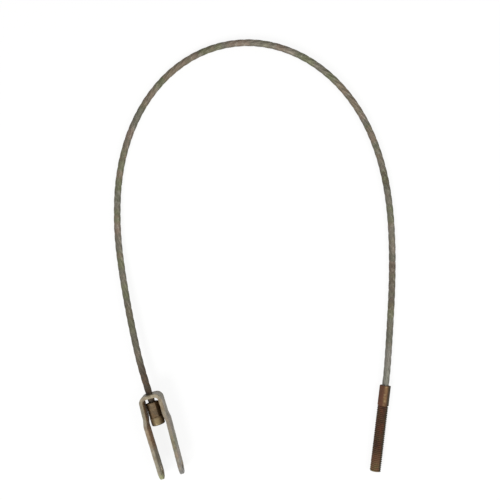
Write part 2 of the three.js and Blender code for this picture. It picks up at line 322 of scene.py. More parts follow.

# %% [markdown]
# Dirt and rust gather in the grooves, which also get painted shade, and the crests are
# rubbed bare. Each point's distance from the rope's axis says which of the two it is, so it
# is kept with the mesh as an attribute, `crest`, next to `along`, the distance along the
# rope. A finish reads both, and that way its stains follow the rope round the arch. A lumpy
# core, the dirt between the strands, fills the rope's middle, and `tone` sets the strands apart.

# %% Rope mesh
GROOVE_RADIUS = 1.95
CORE_RADIUS = 2.2
CORE_COLUMNS = 20
CORE_STEP = 4
CORE_LUMPS = (0.12, 4.0, 12)
core_rows = slice(None, None, CORE_STEP)
core_turn = np.linspace(0, 2 * np.pi, CORE_COLUMNS, endpoint=False)[:, None]
core_out = np.cos(core_turn) * side[core_rows, None] + np.sin(core_turn) * up[core_rows, None]
core_middle = rope_line[core_rows, None]
core_radius = CORE_RADIUS + dents_on(core_middle + CORE_RADIUS * core_out, CORE_LUMPS)
core_radius[[0, -1]] = CORE_RADIUS / 2
core = core_middle + core_radius[..., None] * core_out
core_at = rope_at[core_rows]
places, quads, fans, distance, crest, strand_tone = [], [], [], [], [], []
for number, rings in enumerate([*tubes, core]):
    start = sum(map(len, places))
    made = tube_mesh(rings, start)
    rows = rope_at if number < STRANDS else core_at
    for collected, values in zip((places, quads, fans), made):
        collected.append(values)
    distance.append(np.append(np.repeat(rows, rings.shape[1]), rows[[0, -1]]))
    out = out_of_axis[number] if number < STRANDS else core_radius
    height = ramp(out, GROOVE_RADIUS, ROPE_RADIUS - GROOVE_RADIUS)
    crest.append(np.append(height.ravel(), [0, 0]))
    strand_tone.append(np.full(len(made[0]), draw.uniform()))
wire_rope = add_piece(
    "rope_strands",
    to_frame(np.vstack(places)),
    np.vstack(quads),
    np.vstack(fans),
    along=np.concatenate(distance),
    crest=np.concatenate(crest),
    tone=np.concatenate(strand_tone),
)
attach(wire_rope, "cable")
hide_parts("wire_rope")

# %% [markdown]
# ## Pressed hexagons
# The ferrule and the stud's socket were round tubes, squeezed on to the rope between
# six-sided dies. Their outside is a radius that depends on the angle round the axis and
# on the distance along it: the hexagon's flats where the die closed, the round tube
# where it did not, and a short ramp between. The smaller of the two radii wins, and a
# high power mean softens the change, because metal does not fold to a knife edge.

# %% Radius of a pressed tube
HEX_SOFTNESS = 44
CORNER_LIFT = 0.2


def pressed_radius(angle, y, round_radius, flats, hex_end, runout):
    """Soft minimum of round_radius and flats / 2 / cos(angle from the nearest flat)."""
    from_flat = (angle - np.pi / 2 + np.pi / 6) % (np.pi / 3) - np.pi / 6
    opened = np.clip((-y - hex_end + runout) / runout, 0, 1)
    die = flats / 2 / np.cos(from_flat) + opened * opened * (3 - 2 * opened) * round_radius
    p = HEX_SOFTNESS
    lift = 1 + CORNER_LIFT * (1 - opened)
    return ((die**-p + round_radius**-p) / lift) ** (-1 / p)


def upper_flat(angle, reach, fall, lean=0.0):
    """Wear and painted light from above: 1 on the flat that faces up, and falling to 0 beside it.
    """
    from_top = np.abs(angle - np.pi / 2 + lean) / (np.pi / 6)
    return np.clip(reach - from_top * fall, 0, 1)


def placed(local, start, turn):
    """Local points turned about Z and moved to the fitting's start."""
    x, y, z = np.moveaxis(local, -1, 0)
    c, s = math.cos(turn), math.sin(turn)
    return np.stack([x * c - y * s, x * s + y * c, z], -1) + start


def rings_from(radius, y, angle):
    """Points at radius round the local Y axis, with angle from +X towards +Z."""
    return np.stack([radius * np.cos(angle), y + 0 * angle, radius * np.sin(angle)], -1)


# %% [markdown]
# ## The ferrule
# A stop 17 mm long, sitting on the rope's end inside the clevis. The die pressed its upper
# two thirds to a hexagon and left a round foot. One profile runs up the bore, over the end
# face, down the outside and round the foot; carried round the axis it closes on itself.

# %% Ferrule
FERRULE_RADIUS = 4.95
FERRULE_FLATS = 8.6
FERRULE_HEX_END = 11.6
FERRULE_RUNOUT = 0.8
FERRULE_BORE = 2.62
FOOT_ROUND = 0.9
TOP_CHAMFER = 0.45
PRESSED_COLUMNS = 144
SIDE_ROWS = 90
FERRULE_DENTS = ((0.05, 2.6, 21), (0.03, 0.7, 22))
FERRULE_SINK = 0.04
ring_angle = np.linspace(0, 2 * np.pi, PRESSED_COLUMNS, endpoint=False)[None, :]
bend = np.linspace(0, np.pi / 2, 7)
face = np.linspace(0, 1, 5)[:, None, None]
top_y = -TOP_CHAMFER * (1 - np.cos(bend))
top_in = TOP_CHAMFER * (1 - np.sin(bend))
side_y = np.linspace(-TOP_CHAMFER, -FERRULE_LENGTH + FOOT_ROUND, SIDE_ROWS)[1:-1]
low_y = -FERRULE_LENGTH + FOOT_ROUND * (1 - np.sin(bend))
low_in = FOOT_ROUND * (1 - np.cos(bend))
y = np.concatenate([top_y, side_y, low_y])[:, None]
drawn_in = np.concatenate([top_in, np.zeros(len(side_y)), low_in])[:, None]
hexed = pressed_radius(
    ring_angle, y, FERRULE_RADIUS, FERRULE_FLATS, FERRULE_HEX_END, FERRULE_RUNOUT
)
outside = rings_from(hexed - drawn_in, y, ring_angle)
dents = dents_on(outside, *FERRULE_DENTS)
outside = rings_from(hexed - drawn_in + dents - FERRULE_SINK, y, ring_angle)
mouth = rings_from(FERRULE_BORE, 0.0, ring_angle)
foot = rings_from(FERRULE_BORE, -FERRULE_LENGTH, ring_angle)
to_mouth = mouth + (outside[:1] - mouth) * face[:-1]
to_foot = outside[-1:] + (foot - outside[-1:]) * face[1:]
ferrule_grid = np.concatenate([to_mouth, outside, to_foot])
rows, columns = ferrule_grid.shape[:2]
ferrule_piece = add_piece(
    "ferrule_pressed",
    to_frame(placed(ferrule_grid, FERRULE_PLACE, LEAN)).reshape(-1, 3),
    quads_of(rows, columns, loop_rows=True),
    worn=np.broadcast_to(upper_flat(ring_angle, 1.35, 1.1), (rows, columns)),
    along=-ferrule_grid[..., 1],
)
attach(ferrule_piece, "cable")
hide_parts("ferrule")

# %% [markdown]
# ## The threaded stud
# A socket pressed on the rope, a short shoulder and 47 mm of 5/16 inch thread with
# eighteen turns to the inch. The thread is a radius too: how far a point has come round
# and along, counted in turns, says whether it is on a crest, a flank or in the root.
# One profile starts at the bottom of the socket, comes out of its mouth, runs down the
# outside and closes on the axis at the far end.

# %% Radius of a screw thread
THREAD_RADIUS = 4.0
THREAD_DEPTH = 0.52
PITCH = 1.411
CREST_SHARE = 0.3
ROOT_SHARE = 0.2


def thread_height(angle, y):
    """0 in the root and 1 on the crest; turns = y / pitch - angle / 2 pi, for a right hand."""
    turns = -y / PITCH + angle / (2 * np.pi)
    from_crest = np.abs(turns % 1 - 0.5) * 2
    return np.clip((1 - from_crest - ROOT_SHARE) / (1 - ROOT_SHARE - CREST_SHARE), 0, 1)


# %% Stud
SHANK_LENGTH = 15.4
SHANK_FLATS = 7.6
SHANK_HEX_END = 12.4
SHANK_RUNOUT = 0.6
SHANK_CHAMFER = 0.5
SHOULDER = 0.9
STUD_LENGTH = 63.1
SOCKET_DEPTH = 14.0
SOCKET_BORE = 2.62
SOCKET_FLOOR = 1.3
MOUTH_FLARE = 0.3
END_BEVEL = 0.3
STUD_COLUMNS = 84
SHANK_ROWS = 100
ROWS_PER_PITCH = 14
THREAD_DENT = 0.04
SHANK_DENT = 0.03
STUD_SINK = 0.02
stud_angle = np.linspace(0, 2 * np.pi, STUD_COLUMNS, endpoint=False)[None, :]
shank_y = np.linspace(-SHANK_CHAMFER, -SHANK_LENGTH, SHANK_ROWS)[1:]
thread_rows = int((STUD_LENGTH - SHANK_LENGTH) / PITCH * ROWS_PER_PITCH)
thread_y = np.linspace(-SHANK_LENGTH, -STUD_LENGTH, thread_rows)[1:]
y = np.concatenate([-SHANK_CHAMFER * (1 - np.cos(bend)), shank_y, thread_y])[:, None]
drawn_in = np.concatenate(
    [SHANK_CHAMFER * (1 - np.sin(bend)), np.zeros(len(shank_y) + len(thread_y))]
)[:, None]
hexed = pressed_radius(stud_angle, y, SHANK_RADIUS, SHANK_FLATS, SHANK_HEX_END, SHANK_RUNOUT)
height = thread_height(stud_angle, y)
threaded = THREAD_RADIUS - THREAD_DEPTH * (1 - height)
cone = SHANK_RADIUS - ramp(-y, SHANK_LENGTH - SHOULDER, SHOULDER)
bevelled = THREAD_RADIUS - END_BEVEL + np.clip(y + STUD_LENGTH, 0, END_BEVEL)
on_thread = y < -SHANK_LENGTH
radius = np.where(on_thread, np.minimum(threaded, bevelled), np.minimum(hexed - drawn_in, cone))
outside = rings_from(radius, y, stud_angle)
depth = np.where(on_thread, THREAD_DENT, SHANK_DENT)
dents = dents_on(outside, (depth, 1.9, 31), (0.02, 0.6, 32))
outside = rings_from(np.minimum(radius + dents - STUD_SINK, SHANK_RADIUS), y, stud_angle)
bore_levels = [SOCKET_DEPTH, SOCKET_DEPTH, SOCKET_DEPTH / 2, MOUTH_FLARE, 0.0]
bore_radii = [SOCKET_FLOOR, SOCKET_BORE, SOCKET_BORE, SOCKET_BORE, SOCKET_BORE + MOUTH_FLARE]
bore_y, bore_radius = -np.array(bore_levels)[:, None], np.array(bore_radii)[:, None]
bore = rings_from(bore_radius, bore_y, stud_angle)
to_mouth = bore[-1:] + (outside[:1] - bore[-1:]) * face[1:-1]
end_share = np.array([0.75, 0.45, 0.15])[:, None]
end_radius = (THREAD_RADIUS - END_BEVEL) * end_share
end_face = rings_from(end_radius, -STUD_LENGTH + 0 * end_share, stud_angle)
stud_grid = np.concatenate([bore, to_mouth, outside, end_face])
local, quads, fans = tube_mesh(stud_grid)
before, after = len(bore) + len(to_mouth), len(end_face)
thread_crest = np.pad(np.where(on_thread, height, 1.0), ((before, after), (0, 0)))
worn = np.broadcast_to(upper_flat(stud_angle, 1.25, 1.3, 0.1), stud_grid.shape[:2])
stud_piece = add_piece(
    "stud_threaded",
    to_frame(placed(local, STUD_MOUTH, STUD_TURN)),
    quads,
    fans,
    along=-local[:, 1],
    crest=np.append(thread_crest.ravel(), [0, 0]),
    worn=np.append(worn.ravel(), [0, 0]),
)
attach(stud_piece, "cable")
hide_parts("threaded_stud")

# %% [markdown]
# The rope keeps its true length: it leaves the ferrule's mouth, and the stud is the fitting on
# its far end.

# %% [markdown]
# ## The clevis
# One steel strap, 16 by 2.6 mm, bent round to a U. It stands on its edge, the rope runs
# through the hole in its web, and its two ears spread at a joggle so that the brake's
# lever fits between them. The real one is a flat blank, bent; here, too, a flat section
# is carried along the bent middle line. Both rounded ends come from the section growing
# from narrow to full width over the first seven millimetres.

# %% Middle line of the strap
HALF = STRAP_THICKNESS / 2
CLEVIS_LENGTH = 62.2
STRAP_OFFSET = 0.25
EAR_SET = 0.3
HALF_GAPS = {"tip": 12.3 / 2, "below": 14 / 2, "above": 12.1 / 2, "web": 11.3 / 2}
JOGGLE_START = 16.4
JOGGLE_END = 21.2
JOGGLE_BEND = 5.0
WEB_BEND = 2.4 + HALF
BEND_STEPS = 14
STRAP_STATIONS = 1601


def rounded_path(corners, bends):
    """Straight runs whose corners become arcs: each arc starts bend / tan(half) back."""
    points = [np.array(corners[0])]
    for before, at, after, bend_radius in zip(corners, corners[1:], corners[2:], bends):
        back = unit(np.subtract(before, at))
        ahead = unit(np.subtract(after, at))
        half = math.acos(back @ ahead) / 2
        centre = at + unit(back + ahead) * bend_radius / math.sin(half)
        start = at + back * bend_radius / math.tan(half)
        swing = -np.sign(back[0] * ahead[1] - back[1] * ahead[0]) * (np.pi - 2 * half)
        for share in np.linspace(0, 1, BEND_STEPS):
            c, s = math.cos(swing * share), math.sin(swing * share)
            points.append(centre + np.array([[c, -s], [s, c]]) @ (start - centre))
    return np.array([*points, corners[-1]])


levels = {"tip": -CLEVIS_LENGTH, "below": -JOGGLE_END, "above": -JOGGLE_START, "web": -HALF}
shifts = {"tip": STRAP_OFFSET + EAR_SET}
right, left = (
    [(hand * (HALF_GAPS[k] + HALF) + shifts.get(k, STRAP_OFFSET), y) for k, y in levels.items()]
    for hand in (1, -1)
)
left.reverse()
bends = [JOGGLE_BEND, JOGGLE_BEND, WEB_BEND, WEB_BEND, JOGGLE_BEND, JOGGLE_BEND]
strap_path = rounded_path([*right, *left], bends)
strap_path = np.column_stack([strap_path, np.full(len(strap_path), AXIS_HEIGHT)])
strap_line, strap_at = even_steps(strap_path, STRAP_STATIONS)
STRAP_LENGTH = strap_at[-1]
print(f"the flat blank is {STRAP_LENGTH:.1f} mm long")

# %% [markdown]
# The section is a rectangle with rounded corners. Towards the ends of the strap the
# rounding has to go round the tip as well, so each point of the section knows its inset:
# how far the whole outline is drawn in at its level. Each level is then its own smaller
# outline of the strap, and the edge is rounded all the way.

# %% Strap surface
STRAP_HALF_WIDTH = 8.0
EAR_CORNER = 7.0
EDGE_ROUND = 0.42
ACROSS_FLAT = 19
TIP_STEPS = 18
STRAIGHT_STEPS = 190


def on_strap(at, out, height):
    """A point at this distance along the strap, out from its middle line, and up."""
    along, _, _ = line_frames(strap_line)
    normal = np.stack([along[:, 1], -along[:, 0]], -1)
    heading = unit(read_off(normal, strap_at, at))
    flat = read_off(strap_line[:, :2], strap_at, at) + heading * out[..., None]
    return np.concatenate([flat, (AXIS_HEIGHT + height)[..., None]], -1)


quarter = np.linspace(0, np.pi / 2, 5)
rise = EDGE_ROUND * (1 - np.cos(quarter))
draw_in = EDGE_ROUND * (1 - np.sin(quarter))
edge_out = np.concatenate([HALF - rise, rise[::-1] - HALF])
edge_inset = np.concatenate([draw_in, draw_in[::-1]])
edge_share = np.ones(len(edge_out))
shares = np.linspace(-1, 1, ACROSS_FLAT)[1:-1]
level = np.ones(len(shares))
section_out = np.concatenate([edge_out, -HALF * level, edge_out[::-1], HALF * level])
section_inset = np.concatenate([edge_inset, EDGE_ROUND * level] * 2)
section_share = np.concatenate([edge_share, shares[::-1], -edge_share, shares])
swing = np.linspace(0, np.pi / 2, TIP_STEPS)[:, None]
corner = EAR_CORNER - section_inset
tip_at = EAR_CORNER - corner * np.cos(swing)
tip_width = STRAP_HALF_WIDTH - EAR_CORNER + corner * np.sin(swing)
straight_at = np.linspace(EAR_CORNER, STRAP_LENGTH - EAR_CORNER, STRAIGHT_STEPS)[1:-1, None]
straight_at = straight_at + 0 * section_inset
straight_width = STRAP_HALF_WIDTH - section_inset + 0 * straight_at
at = np.concatenate([tip_at, straight_at, STRAP_LENGTH - tip_at[::-1]])
width = np.concatenate([tip_width, straight_width, tip_width[::-1]])
strap_grid = on_strap(at, section_out + 0 * at, section_share * width)
rows, columns = strap_grid.shape[:2]
print(f"strap grid {rows} x {columns}")

# %% [markdown]
# Two small patches close the ends, and their points meet the section's own, so a merge
# by distance makes one closed skin. Then the holes: a boolean with a spool, a turned
# shape that widens towards both faces, which leaves each rim rounded as a punch leaves it.

# %% Close the strap
patch_shares = np.concatenate([[1.0], shares[::-1], [-1.0]])
patch_at = edge_inset[:, None] + 0 * patch_shares
patch_out = edge_out[:, None] + 0 * patch_shares
patch_height = (STRAP_HALF_WIDTH - EAR_CORNER) * patch_shares + 0 * patch_out
both_ends = (patch_at, STRAP_LENGTH - patch_at)
caps = [on_strap(end_at, patch_out, patch_height) for end_at in both_ends]
cap_rows, cap_columns = caps[0].shape[:2]
count = rows * columns
cap_count = cap_rows * cap_columns
strap_places = np.vstack([strap_grid.reshape(-1, 3), *(c.reshape(-1, 3) for c in caps)])
strap_quads = np.vstack(
    [
        quads_of(rows, columns),
        quads_of(cap_rows, cap_columns, count, loop_columns=False),
        quads_of(cap_rows, cap_columns, count + cap_count, loop_columns=False)[:, ::-1],
    ]
)
clevis_piece = add_piece("clevis_strap", to_frame(strap_places), strap_quads)

# %% Punch the holes
PIN_HOLE_RADIUS = 3.3
PIN_FROM_TIP = 6.2
ROPE_HOLE_RADIUS = ROPE_RADIUS + 0.6
RIM_ROUND = 0.4
RIM_SINK = 0.93 * RIM_ROUND
SPOOL_SIDES = 72
SPOOL_PAST = 0.3
SPOOL_FLARE = 1.1
WELD_DISTANCE = 4e-6


def spool(name, centre, direction, radius):
    """A turned cutter: straight in the middle, flaring by a rounded rim at both faces."""
    flare = np.radians([0, 18, 36, 54, 70])
    out = np.append(HALF - RIM_SINK + RIM_ROUND * np.sin(flare), HALF + SPOOL_PAST)
    wide = np.append(radius + RIM_ROUND * (1 - np.cos(flare)), radius + SPOOL_FLARE)
    offset = np.concatenate([-out[::-1], out])[:, None, None]
    spread = np.concatenate([wide[::-1], wide])[:, None, None]
    angle = np.linspace(0, 2 * np.pi, SPOOL_SIDES, endpoint=False)[None, :, None]
    direction = unit(np.array([*direction, 0.0]))
    level = np.cross([0, 0, 1], direction)
    ring = np.cos(angle) * level + np.sin(angle) * np.array([0, 0, 1])
    places, quads, fans = tube_mesh(centre + offset * direction + spread * ring)
    return add_piece(name, to_frame(places), quads, fans)


pin_y = PIN_FROM_TIP - CLEVIS_LENGTH
cutters = [spool("cut_web", WEB_HOLE, (0.0, 1.0), ROPE_HOLE_RADIUS)]
for name, ear in (("cut_right", right[:2]), ("cut_left", left[:1:-1])):
    (tip_x, tip_y), (top_x, top_y) = ear
    pin_x = np.interp(pin_y, [tip_y, top_y], [tip_x, top_x])
    across = (top_y - tip_y, tip_x - top_x)
    cutters.append(spool(name, [pin_x, pin_y, AXIS_HEIGHT], across, PIN_HOLE_RADIUS))
weld = clevis_piece.modifiers.new("weld", "WELD")
weld.merge_threshold = WELD_DISTANCE
for cutter in cutters:
    punch = clevis_piece.modifiers.new(cutter.name, "BOOLEAN")
    punch.object, punch.operation, punch.solver = cutter, "DIFFERENCE", "EXACT"
scene_graph = bpy.context.evaluated_depsgraph_get()
punched = bpy.data.meshes.new_from_object(clevis_piece.evaluated_get(scene_graph))
clevis_piece.modifiers.clear()
clevis_piece.data = punched
punched.name = "clevis_strap"
for cutter in cutters:
    bpy.data.objects.remove(cutter)
print("after punching:", len(punched.vertices), "points,", len(punched.polygons), "faces")

# %% [markdown]
# A strap's edges wear bright first. The distance of each point from the nearest place on
# the strap's middle line tells how near it is to an edge, and that becomes the `edge`
# attribute; the side of that line it lies on becomes `inner`, for the duller inside of the
# U. The strap is then made a little uneven, and its flat faces are told to keep their own
# normals, so that the rounded rims don't shade across them.

# %% Wear map of the clevis
LINE_STEP = 4
EDGE_WEAR = 0.8
STRAP_DENTS = ((0.035, 5, 41), (0.02, 1.6, 42))
FLAT_WEIGHT = 60
spots = np.empty(len(punched.vertices) * 3)
punched.vertices.foreach_get("co", spots)
spots = spots.reshape(-1, 3) / MM - DRAWING_ORIGIN
coarse = strap_line[::LINE_STEP]
gaps = np.linalg.norm(spots[:, None, :2] - coarse[None, :, :2], axis=-1)
nearest = gaps.argmin(1)
out = gaps.min(1)
down = strap_at[::LINE_STEP][nearest]
to_tip = np.minimum(down, STRAP_LENGTH - down)
to_side = STRAP_HALF_WIDTH - np.abs(spots[:, 2] - AXIS_HEIGHT)
to_hole = np.abs(np.hypot(spots[:, 1] - pin_y, spots[:, 2] - AXIS_HEIGHT) - PIN_HOLE_RADIUS)
near_edge = np.minimum(np.minimum(to_side, to_tip), to_hole)
edge = np.clip(1 - near_edge / EDGE_WEAR, 0, 1) * ramp(out, 0.5, 0.6)
lean_out = unit(spots[:, :2] - coarse[nearest, :2])
slope = unit(np.gradient(coarse[:, :2], axis=0))[nearest]
outer_side = lean_out[:, 0] * slope[:, 1] - lean_out[:, 1] * slope[:, 0]
inner = ramp(out, 0.7, 0.4) * (outer_side < 0)
store(punched, edge=edge, inner=inner)
bump = dents_on(spots, *STRAP_DENTS) * ramp(out, 0.8, 0.4)
spots[:, :2] += lean_out * bump[:, None]
punched.vertices.foreach_set("co", ((spots + DRAWING_ORIGIN) * MM).ravel())
punched.shade_smooth()
punched.update()
keep_flat = clevis_piece.modifiers.new("keep_flat", "WEIGHTED_NORMAL")
keep_flat.weight = FLAT_WEIGHT
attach(clevis_piece, "clevis")
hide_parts("clevis")

# %% [markdown]
# ## Writing materials in nodes
# A material is a small program. `Recipe` keeps that program short to write: each call
# adds one node, fills its sockets by name or number, with a value or with another node's
# output, and gives back an output to use further on.

# %% Recipe


class Recipe:
    """A node tree that is being written."""

    def __init__(self, tree):
        self.tree = tree

    def add(self, kind, sockets, out=0, **settings):
        """One shader node of this kind; returns one of its outputs, or a list of them."""
        made = self.tree.nodes.new("ShaderNode" + kind)
        for key, value in settings.items():
            setattr(made, key, value)
        for key, value in sockets.items():
            if isinstance(value, bpy.types.NodeSocket):
                self.tree.links.new(value, made.inputs[key])
            else:
                made.inputs[key].default_value = value
        if isinstance(out, list):
            return [made.outputs[name] for name in out]
        return made.outputs[out] if made.outputs else None

    def maths(self, operation, *values):
        return self.add("Math", dict(enumerate(values)), operation=operation)

    def mix(self, share, first, second, blend="MIX"):
        sockets = {0: share, 6: first, 7: second}
        return self.add("Mix", sockets, 2, data_type="RGBA", blend_type=blend)

    def cover(self, base, colour, mask, share):
        """This colour laid over the base where the mask is, at most this strongly."""
        return self.mix(self.times(mask, share), base, paint(*colour))

    def times(self, first, second):
        return self.maths("MULTIPLY", first, second)

    def noise(self, vector, size, detail, roughness, seed):
        """Noise whose features are about this many millimetres across."""
        sockets = {
            "Vector": vector, "W": seed, "Scale": 1 / (size * MM),
            "Detail": detail, "Roughness": roughness,
        }
        return self.add("TexNoise", sockets, noise_dimensions="4D")

    def between(self, value, low, high):
        """0 below low and 1 above high, smooth between."""
        sockets = {"Value": value, 1: low, 2: high}
        return self.add("MapRange", sockets, interpolation_type="SMOOTHSTEP")

    def group(self, group, sockets, out="Mask"):
        """A node group placed here with its own values."""
        return self.add("Group", sockets, out, node_tree=group)


def empty_recipe(owner):
    """A recipe in the node tree that this material or world has, emptied first."""
    owner.use_nodes = True
    owner.node_tree.nodes.clear()
    return Recipe(owner.node_tree)


def new_group(name, vectors, values, colours=""):
    """A group whose inputs have these names; returns its tree, its recipe and the inputs."""
    tree = bpy.data.node_groups.new(name, "ShaderNodeTree")
    for kind, labels in (("Vector", vectors), ("Float", values), ("Color", colours)):
        for label in labels.split():
            tree.interface.new_socket(name=label, in_out="INPUT", socket_type="NodeSocket" + kind)
    return tree, Recipe(tree), tree.nodes.new("NodeGroupInput").outputs


def finish_group(tree, **outputs):
    """Gives the group an output for each result: a colour, or else a value."""
    end = tree.nodes.new("NodeGroupOutput")
    for label, value in outputs.items():
        kind = "NodeSocketColor" if value.type == "RGBA" else "NodeSocketFloat"
        tree.interface.new_socket(name=label, in_out="OUTPUT", socket_type=kind)
        tree.links.new(value, end.inputs[label])


def paint(red, green, blue):
    """A colour as a picture editor shows it, 0 to 255, as the light that Blender mixes."""
    share = np.array([red, green, blue]) / 255
    light = np.where(share <= 0.04045, share / 12.92, ((share + 0.055) / 1.055) ** 2.4)
    return (*light.tolist(), 1.0)


# %% [markdown]
# ## Effects that several finishes share
# Stains, rust, grime and rubbed edges are on every piece, in other amounts. Each is a
# node group with named inputs, written once. `stain` gives a soft-edged mask that covers
# a chosen share of the surface. `rust` colours it, from young orange to old brown, and
# gives a height so that the crust can stand up from the steel.

# %% Stain
stain, r, i = new_group("stain", "Vector", "Size Cover Soft Seed")
scale = r.maths("DIVIDE", 1000.0, i["Size"])
field = r.add(
    "TexNoise",
    {"Vector": i["Vector"], "W": i["Seed"], "Scale": scale, "Detail": 4.0, "Roughness": 0.6},
    noise_dimensions="4D",
)
middle = r.maths("MULTIPLY_ADD", i["Cover"], -0.4, 0.7)
mask = r.between(field, r.maths("SUBTRACT", middle, i["Soft"]), r.maths("ADD", middle, i["Soft"]))
finish_group(stain, Mask=mask)


def stained(r, vector, size, cover, soft, seed):
    """The mask of a stain: its size in mm, the share it covers and how soft its edge is."""
    sockets = {"Vector": vector, "Size": size, "Cover": cover, "Soft": soft, "Seed": seed}
    return r.group(stain, sockets)


# %% Rust
rust, r, i = new_group("rust", "Vector", "Size Cover Seed", "Young Old")
spread = stained(r, i["Vector"], i["Size"], i["Cover"], 0.07, i["Seed"])
grain = r.noise(i["Vector"], 0.55, 5.0, 0.65, 3.0)
age = r.between(r.noise(i["Vector"], 2.4, 3.0, 0.5, 8.0), 0.36, 0.64)
tint = r.mix(age, i["Young"], i["Old"])
speckled = r.mix(r.between(grain, 0.3, 0.7), tint, r.mix(0.55, tint, (0.012, 0.006, 0.004, 1)))
finish_group(rust, Color=speckled, Mask=spread, Height=r.times(grain, spread))


def rusted(r, vector, size, cover, seed, young, old):
    """Rust of two ages: its colour, its mask and the height of its crust."""
    sockets = {"Vector": vector, "Size": size, "Cover": cover, "Seed": seed}
    sockets.update(Young=paint(*young), Old=paint(*old))
    return r.group(rust, sockets, ["Color", "Mask", "Height"])


# %% [markdown]
# `old zinc` is the dull skin of plated steel that has lain about: two close tones that
# drift into each other, fine dark specks, and a height to catch the light. Stains that are
# in one place only need a mask of their own: `stretch` marks a stretch of the rope, by how
# far along it is, and `near` a ragged spot round a place.

# %% Old zinc
old_zinc, r, i = new_group("old_zinc", "Vector", "Size", "Light Dark")
drift = stained(r, i["Vector"], i["Size"], 0.5, 0.16, 1.5)
speck = r.noise(i["Vector"], 0.45, 4.0, 0.6, 6.0)
tone = r.mix(drift, i["Light"], i["Dark"])
tone = r.mix(r.between(speck, 0.42, 0.75), tone, r.mix(0.35, tone, (0.02, 0.018, 0.015, 1)))
rough = r.maths("MULTIPLY_ADD", drift, 0.16, 0.44)
finish_group(old_zinc, Color=tone, Height=speck, Rough=rough)


def zinced(r, vector, size, light, dark):
    """Old zinc in two tones: its colour, its height and its roughness."""
    sockets = {"Vector": vector, "Size": size, "Light": paint(*light), "Dark": paint(*dark)}
    return r.group(old_zinc, sockets, ["Color", "Height", "Rough"])


# %% Stretch of the rope
stretch, r, i = new_group("stretch", "", "Along Middle Half")
away = r.maths("ABSOLUTE", r.maths("SUBTRACT", i["Along"], i["Middle"]))
fade = r.maths("DIVIDE", away, i["Half"])
finish_group(stretch, Mask=r.maths("SUBTRACT", 1.0, r.between(fade, 0.55, 1.25)))


def on_stretch(r, along, middle, half):
    """The mask of a stretch of rope, by its middle and half its length in mm."""
    return r.group(stretch, {"Along": along, "Middle": middle, "Half": half})


# %% Near a place
near, r, i = new_group("near", "Vector Place", "Reach")
gap = r.add("VectorMath", {0: i["Vector"], 1: i["Place"]}, "Value", operation="DISTANCE")
ragged = r.maths("MULTIPLY_ADD", r.noise(i["Vector"], 1.8, 3.0, 0.7, 2.0), 1.8, 0.1)
gap = r.maths("DIVIDE", r.times(gap, ragged), r.times(i["Reach"], MM))
finish_group(near, Mask=r.maths("SUBTRACT", 1.0, r.between(gap, 0.55, 1.1)))


def near_place(r, vector, spot, reach):
    """The mask round a spot of the drawing, this many mm wide each way."""
    sockets = {"Vector": vector, "Place": to_frame(spot).tolist(), "Reach": reach}
    return r.group(near, sockets)


# %% [markdown]
# ## A material's frame
# Every finish ends the same way: a Principled shader, whose colour, roughness and metal
# share vary over the surface, and a Bump node that turns a height into leaning normals.
# Values that are the same all over stay plain numbers on the shader.

# %% Start and end of a finish


def start_finish(name, *labels):
    """A new material, its recipe, Object coordinates, and an output for each attribute."""
    material = bpy.data.materials.new(name)
    r = empty_recipe(material)
    place = r.add("TexCoord", {}, "Object")
    return material, r, place, *(
        r.add("Attribute", {}, "Fac", attribute_name=label) for label in labels
    )


def end_finish(material, r, colour, rough, metal, height, depth_mm, specular=0.4):
    """Joins the results to one Principled shader; height is depth_mm deep at 1."""
    normal = r.add("Bump", {"Height": height, "Strength": 0.7, "Distance": depth_mm * MM})
    shader = r.add(
        "BsdfPrincipled",
        {
            "Base Color": colour, "Roughness": rough, "Metallic": metal,
            "Specular IOR Level": specular, "Normal": normal,
        },
    )
    r.add("OutputMaterial", {"Surface": shader})
    return material


def dress(piece, material):
    """Gives a piece this one material."""
    piece.data.materials.clear()
    piece.data.materials.append(material)


# %% [markdown]
# ## The rope's finish
# Galvanised wire gone dull: taupe and grey-green by turns, with olive and pinkish patches,
# small pale flecks that are painted glints, and grooves darkened by dirt and painted shade.
# Rust has come in where the rope enters the ferrule and, more faintly, at three places on
# the way to the stud. The patches are slow along the rope, so their noise reads how far
# along a point is, and a little of which strand it lies on.

# %% Wire
STRAND_SHIFT = 4 * MM
material, r, place, along_rope, crest, tone = start_finish(
    "wire_of_the_rope", "along", "crest", "tone"
)
by_strand = r.times(tone, STRAND_SHIFT)
lengthwise = r.add("CombineXYZ", {"X": r.times(along_rope, MM), "Y": by_strand})
base, speck, rough = zinced(r, place, 9, (110, 103, 91), (94, 93, 80))
for mask, share, colour in (
    (stained(r, lengthwise, 17, 0.46, 0.06, 4), 0.6, (97, 101, 70)),
    (stained(r, lengthwise, 14, 0.42, 0.05, 9), 0.6, (118, 99, 86)),
    # small pale flecks: painted glints
    (stained(r, place, 2.6, 0.3, 0.05, 21), 0.4, (138, 134, 122)),
    (stained(r, place, 4.2, 0.35, 0.08, 27), 0.35, (70, 66, 54)),
    (on_stretch(r, along_rope, 626, 17), 0.7, (112, 111, 104)),
    (on_stretch(r, along_rope, 62, 34), 0.5, (76, 72, 58)),
):
    base = r.cover(base, colour, mask, share)
colour, spread, crust = rusted(r, place, 3, 0.55, 5, (84, 64, 44), (62, 54, 42))
rusty = r.times(on_stretch(r, along_rope, 22, 26), 0.95)
for middle, half, share in ((486, 9, 0.6), (566, 20, 0.6), (300, 7, 0.3)):
    there = on_stretch(r, along_rope, middle, half)
    rusty = r.maths("MAXIMUM", rusty, r.times(r.times(there, share), spread))
base = r.mix(rusty, base, colour)
# darker grooves: dirt and painted shade
groove_dirt_and_shade = r.between(crest, 0.75, 0.05)
base = r.cover(base, (66, 63, 48), groove_dirt_and_shade, 0.22)
metal = r.times(r.maths("SUBTRACT", 1, rusty), 0.45)
rough = r.maths("ADD", rough, r.times(rusty, 0.25))
height = r.maths("ADD", speck, crust)
dress(wire_rope, end_finish(material, r, base, rough, metal, height, 0.08))
